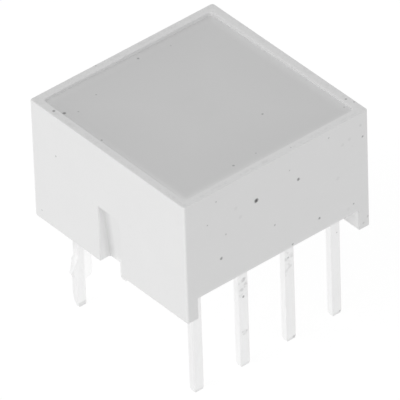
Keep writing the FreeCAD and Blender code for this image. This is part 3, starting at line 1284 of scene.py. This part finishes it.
@dataclass
class Casting:
    """Light-diffusing epoxy that fills the case."""

    case: Case
    edge_drop: float = 0.02 * MM
    pool_drop: float = 0.05 * MM
    creep: float = 0.15 * MM
    sag: float = 0.01 * MM
    low_side_x: float = 0.09 * MM
    low_side_y: float = 0.09 * MM
    back_recess: float = 0.1 * MM
    finish: MilkyEpoxy = MilkyEpoxy()
    meniscus_insets_mm: tuple[float, ...] = (-0.03, 0.0, 0.03, 0.07, 0.12, 0.2, 0.3, 0.45, 0.7)
    pool_insets_mm: tuple[float, ...] = (1.2, 2.0, 3.0, 4.0)

    def pool_ring(self, inset: float) -> Ring:
        """Contour of the window's surface.

        Args:
            inset: Its distance from the window's wall.

        Returns:
            The contour, at its level.
        """
        case = self.case
        reach = case.length / 2 - case.rim_width
        fall = 1.0 - math.exp(-max(inset, 0.0) / self.creep)
        bowl = 1.0 - ((reach - inset) / reach) ** 2
        drop = self.edge_drop + (self.pool_drop - self.edge_drop) * fall + self.sag * bowl
        return case.ring(case.rim_width + inset, case.window_radius, case.rim_level - drop)

    def build(self) -> bpy.types.Object:
        """Builds and dresses the epoxy.

        Returns:
            The epoxy.
        """
        case = self.case
        back_level = case.wall_level + self.back_recess
        window_shade_level = case.rim_level - case.window_depth
        insets = [inset * MM for inset in self.meniscus_insets_mm + self.pool_insets_mm]
        bench = Bench("epoxy")
        bench.loft(
            [
                case.ring(case.wall, case.back_radius, back_level),
                case.ring(case.wall, case.back_radius, case.frame_level),
                case.ring(case.reflector_wall, case.reflector_radius, case.frame_level),
                case.ring(case.rim_width, case.window_radius, window_shade_level),
                *[self.pool_ring(inset) for inset in insets],
            ]
        )
        for axis, fall in enumerate((self.low_side_x, self.low_side_y)):
            bench.choose(
                Kind.POINTS, lambda point: point.co.z > window_shade_level + TINY and point.co[axis] > 0
            )
            bench.move(z=-fall)
        casting = bench.close()
        bpy.ops.object.shade_smooth_by_angle(angle=SHARP)
        fasten(casting, self.finish.make(), "diffusing_epoxy", "encapsulant")
        return casting


@dataclass(frozen=True)
class Tip:
    """Sheared end of a leg, which narrows towards the floor.

    At each level, from the floor up, the leg keeps a share of its width and of its depth. The
    point that stays put lies these shares of half the width and depth from the leg's middle.
    """

    levels: tuple[float, ...] = (0.0, 0.15 * MM)
    widths: tuple[float, ...] = (0.84, 1.0)
    depths: tuple[float, ...] = (0.7, 1.0)
    stays: tuple[float, float] = (0.0, -0.6)


# Way along X in which each lead of a row holds out a pad for an emitter, or 0 for none.
PAD_WAYS = (1, 0, 0, -1)


@dataclass
class Lead:
    """One stamped, bent and tinned lead."""

    number: int
    row: Row
    step: int
    finish: bpy.types.Material
    tip: Tip = Tip()
    width: float = 0.52 * MM
    thickness: float = 0.34 * MM
    stand_out: dict[Row, float] = field(
        default_factory=lambda: {Row.NEAR: 0.12 * MM, Row.FAR: 0.03 * MM}
    )
    offset: float = 0.05 * MM
    far_middle_offset: float = 0.14 * MM
    bend_radius: float = 0.2 * MM
    bend_steps: int = 8
    edge_radius: float = 0.035 * MM
    edge_steps: int = 2
    pad_size: float = 1.0 * MM
    lead_gap: float = 0.25 * MM

    def __post_init__(self) -> None:
        """Reads the lead's place from the frame."""
        self.name = f"tinned_lead_{self.number}"
        low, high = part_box(f"lead_{self.number}")
        self.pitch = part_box("lead_3")[0].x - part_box("lead_2")[0].x
        self.pad_way = PAD_WAYS[self.step]
        is_far_middle = self.row is Row.FAR and not self.pad_way
        offset = self.far_middle_offset if is_far_middle else self.offset
        self.x = (self.step - (len(PAD_WAYS) - 1) / 2) * self.pitch + offset
        self.floor = low.z
        self.inward = -self.row.value
        outer, self.arm_end = (low.y, high.y) if self.row is Row.NEAR else (high.y, low.y)
        self.y = outer + self.inward * (self.thickness / 2 - self.stand_out[self.row])
        self.shoulder = high.z - self.thickness - self.bend_radius

    def point(self, level: float) -> Vector:
        """Middle of the leg at a level."""
        return Vector((self.x, self.y, level))

    def levels(self) -> list[float]:
        """Where the leg is divided above its tip."""
        return [self.shoulder]

    def build_leg(self, bench: Bench) -> None:
        """Draws the leg up from its tip.

        Args:
            bench: The mesh, still empty.
        """
        half = Vector((self.width / 2, self.thickness / 2, 0.0))
        start = self.floor + self.tip.levels[0]
        above = [self.floor + level for level in self.tip.levels[1:]] + self.levels()
        bench.add_block(self.point(start) - half, self.point(above[0]) + half)
        for low, high in zip(above, above[1:]):
            bench.choose_top()
            bench.extrude(z=high - low)
        for level, width, depth in zip(self.tip.levels, self.tip.widths, self.tip.depths):
            place = self.floor + level
            bench.choose(Kind.POINTS, lambda point: abs(point.co.z - place) < TINY)
            stays = self.point(place) + Vector((*self.tip.stays, 0.0)) * half
            bench.squeeze(stays, x=width, y=depth)

    def build_arm(self, bench: Bench) -> None:
        """Bends the strip inwards, and draws out the pad that an emitter stands on.

        Args:
            bench: The mesh with its leg.
        """
        bench.choose_top()
        reach = self.thickness / 2 + self.bend_radius
        centre = self.point(self.shoulder) + Vector((0.0, self.inward * reach, 0.0))
        bpy.ops.mesh.spin(
            steps=self.bend_steps,
            angle=QUARTER_TURN * self.inward,
            center=centre,
            axis=(1, 0, 0),
        )
        pad = self.pad_size if self.pad_way else 0.0
        run = abs(self.arm_end - centre.y)
        bench.extrude(y=self.inward * (run - pad))
        if not self.pad_way:
            return
        bench.extrude(y=self.inward * pad)
        pad_middle = self.arm_end - self.inward * pad / 2

        def is_pad_side(face: bmesh.types.BMFace) -> bool:
            """True for the side of the arm's last stretch that faces the neighbour lead."""
            faces_on = face.normal.x * self.pad_way > SQUARE_ON
            return faces_on and abs(face.calc_center_median().y - pad_middle) < TINY

        bench.choose(Kind.FACES, is_pad_side)
        bench.extrude(x=self.pad_way * (self.pitch - self.lead_gap - self.width))

    def add_details(self, bench: Bench) -> None:
        """Adds what only this lead has, of which there is nothing on a plain one."""

    def shape(self) -> bpy.types.Object:
        """Shapes the lead.

        Returns:
            The lead, with a new mesh.
        """
        bench = Bench(self.name)
        self.build_leg(bench)
        self.build_arm(bench)
        self.add_details(bench)
        lead = bench.close()
        round_edges(lead, self.edge_radius, self.edge_steps)
        shade(lead)
        return lead

    def copy(self, neighbour: bpy.types.Object) -> bpy.types.Object:
        """Copies the lead that stands one pitch before this one and is shaped alike.

        Args:
            neighbour: That lead.

        Returns:
            The lead, with its own mesh.
        """
        lead = bpy.data.objects.new(self.name, neighbour.data.copy())
        lead.data.name = self.name
        bpy.context.scene.collection.objects.link(lead)
        bench = Bench.reopen(lead)
        bpy.ops.mesh.select_all(action="SELECT")
        bench.move(x=self.pitch)
        bpy.ops.object.mode_set(mode="OBJECT")
        return lead

    def build(self, neighbour: bpy.types.Object | None = None) -> bpy.types.Object:
        """Builds the lead.

        Args:
            neighbour: The lead that it is a copy of, or nothing for one that is shaped anew.

        Returns:
            The lead.
        """
        lead = self.copy(neighbour) if neighbour else self.shape()
        fasten(lead, self.finish, "tinned_lead", f"lead_{self.number}")
        return lead


@dataclass
class StubbedLead(Lead):
    """Lead with a stub of the tie bar on one edge, and a sheared burr and a nick on the other."""

    tip: Tip = Tip(
        levels=(0.0, 0.12 * MM, 0.3 * MM, 0.6 * MM),
        widths=(0.84, 0.89, 0.95, 1.0),
        depths=(0.5, 0.72, 0.9, 1.0),
        stays=(1.0, -1.0),
    )
    width: float = 0.49 * MM
    stub_level: float = 1.36 * MM
    stub_height: float = 1.62 * MM
    stub_length: float = 0.38 * MM
    stub_radius: float = 0.28 * MM
    stub_steps: int = 6
    burr_level: float = 1.6 * MM
    burr_height: float = 0.74 * MM
    burr_tip_height: float = 0.27 * MM
    burr_length: float = 0.2 * MM
    burr_pinch: float = 0.4
    nick_levels: tuple[float, ...] = (2.5 * MM, 2.68 * MM, 3.4 * MM, 3.6 * MM)
    nick_depth: float = 0.11 * MM

    def levels(self) -> list[float]:
        """Where the leg is divided above its tip.

        Returns:
            The levels, from the lowest.
        """
        burr_tip = self.burr_level + self.burr_tip_height
        cuts = [self.stub_level, self.burr_level, burr_tip, self.burr_level + self.burr_height]
        cuts += [self.stub_level + self.stub_height, *self.nick_levels]
        return [self.floor + cut for cut in sorted(cuts)] + [self.shoulder]

    def choose_side(self, bench: Bench, way: int, low: float, height: float) -> None:
        """Selects the leg's side faces between two heights.

        Args:
            bench: The mesh.
            way: 1 for the side that faces +X, -1 for the other.
            low: Height of the lower end above the floor.
            height: Distance to the upper end.
        """
        first, last = self.floor + low, self.floor + low + height

        def is_wanted(face: bmesh.types.BMFace) -> bool:
            """True for a face of that side between the heights."""
            return face.normal.x * way > SQUARE_ON and first < face.calc_center_median().z < last

        bench.choose(Kind.FACES, is_wanted)

    def add_details(self, bench: Bench) -> None:
        """Adds the stub, the burr and the nick.

        Args:
            bench: The mesh with its leg and arm.
        """
        self.draw_stub(bench)
        self.draw_burr(bench)
        self.sink_nick(bench)

    def draw_stub(self, bench: Bench) -> None:
        """Draws out the stub and rounds its corners.

        Args:
            bench: The mesh with its leg and arm.
        """
        self.choose_side(bench, 1, self.stub_level, self.stub_height)
        bench.extrude(x=self.stub_length)
        stub_end = self.x + self.width / 2 + self.stub_length
        ends = [self.floor + self.stub_level, self.floor + self.stub_level + self.stub_height]

        def is_stub_corner(edge: bmesh.types.BMEdge) -> bool:
            """True for the two outer edges of the stub.

            Args:
                edge: An edge of the mesh.

            Returns:
                Whether its middle lies at an end of the stub's outer face.
            """
            middle = (edge.verts[0].co + edge.verts[1].co) / 2
            at_end = min(abs(middle.z - end) for end in ends) < TINY
            return at_end and abs(middle.x - stub_end) < TINY and abs(middle.y - self.y) < TINY

        bench.choose(Kind.EDGES, is_stub_corner)
        bpy.ops.mesh.bevel(offset=self.stub_radius, segments=self.stub_steps, affect="EDGES")

    def draw_burr(self, bench: Bench) -> None:
        """Draws out the burr and pinches it to an edge.

        Args:
            bench: The mesh with its leg and arm.
        """
        self.choose_side(bench, -1, self.burr_level, self.burr_height)
        bench.extrude(x=-self.burr_length)
        burr_end = self.x - self.width / 2 - self.burr_length
        bench.choose(Kind.POINTS, lambda point: abs(point.co.x - burr_end) < TINY)
        crest = self.point(self.floor + self.burr_level + self.burr_tip_height)
        bench.squeeze(crest, y=self.burr_pinch, z=0.0)

    def sink_nick(self, bench: Bench) -> None:
        """Pushes in the edge above the burr.

        Args:
            bench: The mesh with its leg and arm.
        """
        left = self.x - self.width / 2
        low, high = self.floor + self.nick_levels[1], self.floor + self.nick_levels[2]

        def is_in_nick(point: bmesh.types.BMVert) -> bool:
            """True for a point of the edge that the nick pushes in."""
            return abs(point.co.x - left) < TINY and low - TINY < point.co.z < high + TINY

        bench.choose(Kind.POINTS, is_in_nick)
        bench.move(x=self.nick_depth)


@dataclass(frozen=True)
class Emitters:
    """Chips, their adhesive and their wires, which are sealed in and keep their own meshes."""

    chip: Grained = Grained(
        "sawn_chip",
        dark=(0.24, 0.2, 0.16, 1.0),
        light=(0.42, 0.36, 0.3, 1.0),
        scale=9.0,
        detail=3.0,
        roughness=0.3,
        roughness_drift=0.2,
        relief_mm=0.002,
        stretch=(1.0, 1.0, 8.0),
    )
    adhesive: Grained = Grained(
        "silver_adhesive",
        dark=grey(0.5),
        light=grey(0.78),
        scale=60.0,
        detail=2.0,
        roughness=0.45,
        roughness_drift=0.25,
        relief_mm=0.002,
        metal=0.8,
    )
    wire: Grained = Grained(
        "drawn_gold",
        dark=(0.86, 0.62, 0.24, 1.0),
        light=(1.0, 0.78, 0.36, 1.0),
        scale=40.0,
        detail=1.0,
        roughness=0.2,
        roughness_drift=0.1,
        relief_mm=0.0005,
        metal=1.0,
    )

    def build(self) -> None:
        """Dresses the pieces."""
        families = {"led_die": self.chip, "die_attach": self.adhesive, "bond_wire": self.wire}
        for family, grained in families.items():
            finish = grained.make()
            for name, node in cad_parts.items():
                if name.startswith(family):
                    dress(node, finish)
                    log.info("%s: dressed", name)


@dataclass(frozen=True)
class Sun:
    """Soft lamp far away: where it stands, how bright it is and how wide it looks."""

    name: str
    azimuth_deg: float
    elevation_deg: float
    level: float
    spread_deg: float


@dataclass
class Studio:
    """Pale floor, even surroundings and soft lamps."""

    ambient: float = 0.57
    floor_reach: float = 1.5
    floor_sides: int = 96
    floor_level: float = 0.5
    floor_glow: float = 0.42
    glow_share: float = 0.85
    glow: float = 1.06
    suns: tuple[Sun, ...] = (
        Sun("key", azimuth_deg=-98.0, elevation_deg=27.0, level=0.32, spread_deg=50.0),
        Sun("front_fill", azimuth_deg=-5.0, elevation_deg=12.0, level=0.1, spread_deg=60.0),
    )

    def seen(self, shader: Shader) -> Number:
        """Tells rays that show the surroundings themselves from rays that light things.

        Args:
            shader: The tree that asks.

        Returns:
            1 for the former and 0 for the latter.
        """
        path = shader.node("ShaderNodeLightPath").outputs
        camera = Number(shader, path["Is Camera Ray"])
        return camera.at_least(path["Is Glossy Ray"]).at_least(path["Is Transmission Ray"])

    def build_floor(self) -> None:
        """Adds a white floor that still takes a shadow."""
        bench = Bench("floor")
        bpy.ops.mesh.primitive_circle_add(
            radius=self.floor_reach, vertices=self.floor_sides, fill_type="NGON"
        )
        floor = bench.close()
        shader = Shader.of_finish("pale_floor")

        def part(kind: str, inputs: dict[str | int, Any]) -> bpy.types.NodeSocket:
            """The shader that comes out of a new node."""
            return shader.node(kind, inputs=inputs).outputs[0]

        matt = part("ShaderNodeBsdfDiffuse", {"Color": grey(self.floor_level)})
        faint = part("ShaderNodeEmission", {"Color": WHITE, "Strength": self.floor_glow})
        lights = part("ShaderNodeAddShader", {0: matt, 1: faint})
        white = part("ShaderNodeBsdfDiffuse", {"Color": WHITE})
        bright = part("ShaderNodeEmission", {"Color": WHITE, "Strength": self.glow})
        shows = part("ShaderNodeMixShader", {0: self.glow_share, 1: white, 2: bright})
        chosen = part("ShaderNodeMixShader", {0: self.seen(shader), 1: lights, 2: shows})
        shader.node("ShaderNodeOutputMaterial", inputs={"Surface": chosen})
        dress(floor, shader.owner)

    def build_world(self) -> None:
        """Adds even surroundings that show white and light softly."""
        shader = Shader(bpy.data.worlds.new("surroundings"))
        bpy.context.scene.world = shader.owner
        seen = self.seen(shader)
        strength = seen + (1.0 - seen) * self.ambient
        back = shader.node("ShaderNodeBackground", inputs={"Color": WHITE, "Strength": strength})
        shader.node("ShaderNodeOutputWorld", inputs={"Surface": back.outputs[0]})

    def build_suns(self) -> None:
        """Adds the lamps."""
        for sun in self.suns:
            lamp = bpy.data.lights.new(sun.name, "SUN")
            lamp.energy = sun.level * math.pi
            lamp.angle = math.radians(sun.spread_deg)
            stand = bpy.data.objects.new(sun.name, lamp)
            bpy.context.scene.collection.objects.link(stand)
            away = direction(sun.azimuth_deg, sun.elevation_deg)
            stand.rotation_mode = "QUATERNION"
            stand.rotation_quaternion = (-away).to_track_quat("-Z", "Y")

    def build(self) -> None:
        """Builds the floor, the surroundings and the lamps."""
        self.build_floor()
        self.build_world()
        self.build_suns()
        bpy.context.scene.view_settings.view_transform = "Standard"


def direction(azimuth_deg: float, elevation_deg: float) -> Vector:
    """Way from the part towards a viewer or a lamp.

    Args:
        azimuth_deg: Angle round Z, 0 on the -Y side and -90 on the -X side.
        elevation_deg: Angle above the floor.

    Returns:
        The way, of length 1.
    """
    turn, rise = math.radians(azimuth_deg), math.radians(elevation_deg)
    level = math.cos(rise)
    return Vector((math.sin(turn) * level, -math.cos(turn) * level, math.sin(rise)))


@dataclass
class Viewpoint:
    """Camera with the photograph's view, solved from the case's corners."""

    azimuth_deg: float = -38.867
    elevation_deg: float = 37.952
    roll_deg: float = -2.014
    distance: float = 358.79 * MM
    aim: Triple = (0.084 * MM, 0.22 * MM, 5.669 * MM)
    lens_mm: float = 768.3
    sensor_mm: float = 36.0
    clip_factor: float = 10.0

    def build(self) -> None:
        """Adds the camera."""
        camera = bpy.data.cameras.new("view")
        camera.lens = self.lens_mm
        camera.sensor_width = self.sensor_mm
        camera.clip_start = self.distance / self.clip_factor
        camera.clip_end = self.distance * self.clip_factor
        stand = bpy.data.objects.new("view", camera)
        bpy.context.scene.collection.objects.link(stand)
        back = direction(self.azimuth_deg, self.elevation_deg)
        stand.location = Vector(self.aim) + back * self.distance
        stand.rotation_mode = "QUATERNION"
        roll = Quaternion((0, 0, 1), math.radians(self.roll_deg))
        stand.rotation_quaternion = (-back).to_track_quat("-Z", "Y") @ roll
        bpy.context.scene.camera = stand


ROWS = {Row.NEAR: (1, 2, 3, 4), Row.FAR: (8, 7, 6, 5)}
# The lead with a stub of the tie bar, and the step along a row at which a lead is a copy.
STUBBED = 8
COPIED_STEP = 2


def main() -> None:
    """Builds the part's looks and the studio."""
    logging.basicConfig(level=logging.INFO, format="%(name)s: %(message)s")
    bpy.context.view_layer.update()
    case = Case()
    case.build()
    Casting(case).build()
    tin = DippedTin().make()
    for row, numbers in ROWS.items():
        lead = None
        for step, number in enumerate(numbers):
            kind = StubbedLead if number == STUBBED else Lead
            lead = kind(number, row, step, tin).build(lead if step == COPIED_STEP else None)
    Emitters().build()
    Studio().build()
    Viewpoint().build()


if __name__ == "__main__":
    main()
